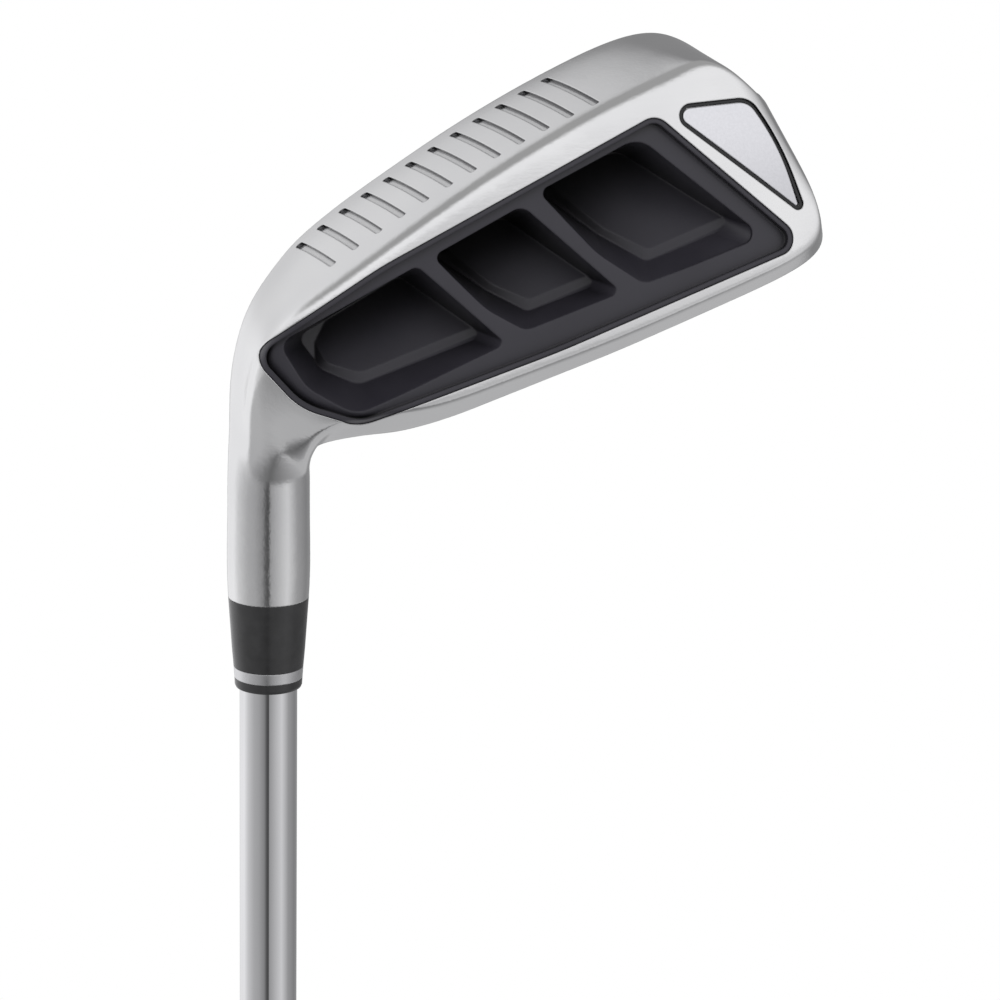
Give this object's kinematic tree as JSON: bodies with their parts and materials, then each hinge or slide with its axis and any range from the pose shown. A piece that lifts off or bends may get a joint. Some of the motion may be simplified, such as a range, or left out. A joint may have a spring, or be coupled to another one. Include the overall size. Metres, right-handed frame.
{
  "type": "golf iron",
  "caption": "Left-handed cavity-back golf iron: slotted wide sole, ribbed cavity insert, toe badge, stepped steel shaft, ferrule and tapered rubber grip.",
  "frame": {"origin": "centre of the grip cap's end face, on the shaft axis", "axes": "+Z along the shaft to the head, +X toward the toe, -Y toward the back of the head (the strike face looks to +Y)"},
  "size_m": [0.0971, 0.0485, 0.9261],
  "materials": {
    "head_steel": "satin",
    "insert_polymer": "satin",
    "bonding_tape": "matte",
    "badge_metal": "polished",
    "trim_black": "gloss",
    "ferrule_black": "gloss",
    "ring_metal": "satin",
    "epoxy": "gloss",
    "weight_brass": "plain",
    "shaft_steel": "polished",
    "grip_tape": "matte",
    "grip_rubber": "matte"
  },
  "bodies": {
    "root": {"head": "head_steel", "cavity_insert": "insert_polymer", "insert_tape": "bonding_tape", "toe_badge": "badge_metal", "badge_trim": "trim_black", "badge_tape": "bonding_tape", "ferrule_upper": "ferrule_black", "ferrule_ring": "ring_metal", "ferrule_collar": "ferrule_black", "hosel_epoxy": "epoxy", "tip_weight": "weight_brass", "shaft": "shaft_steel", "grip_tape": "grip_tape", "grip": "grip_rubber", "grip_cap": "grip_rubber"}
  },
  "joints": []
}
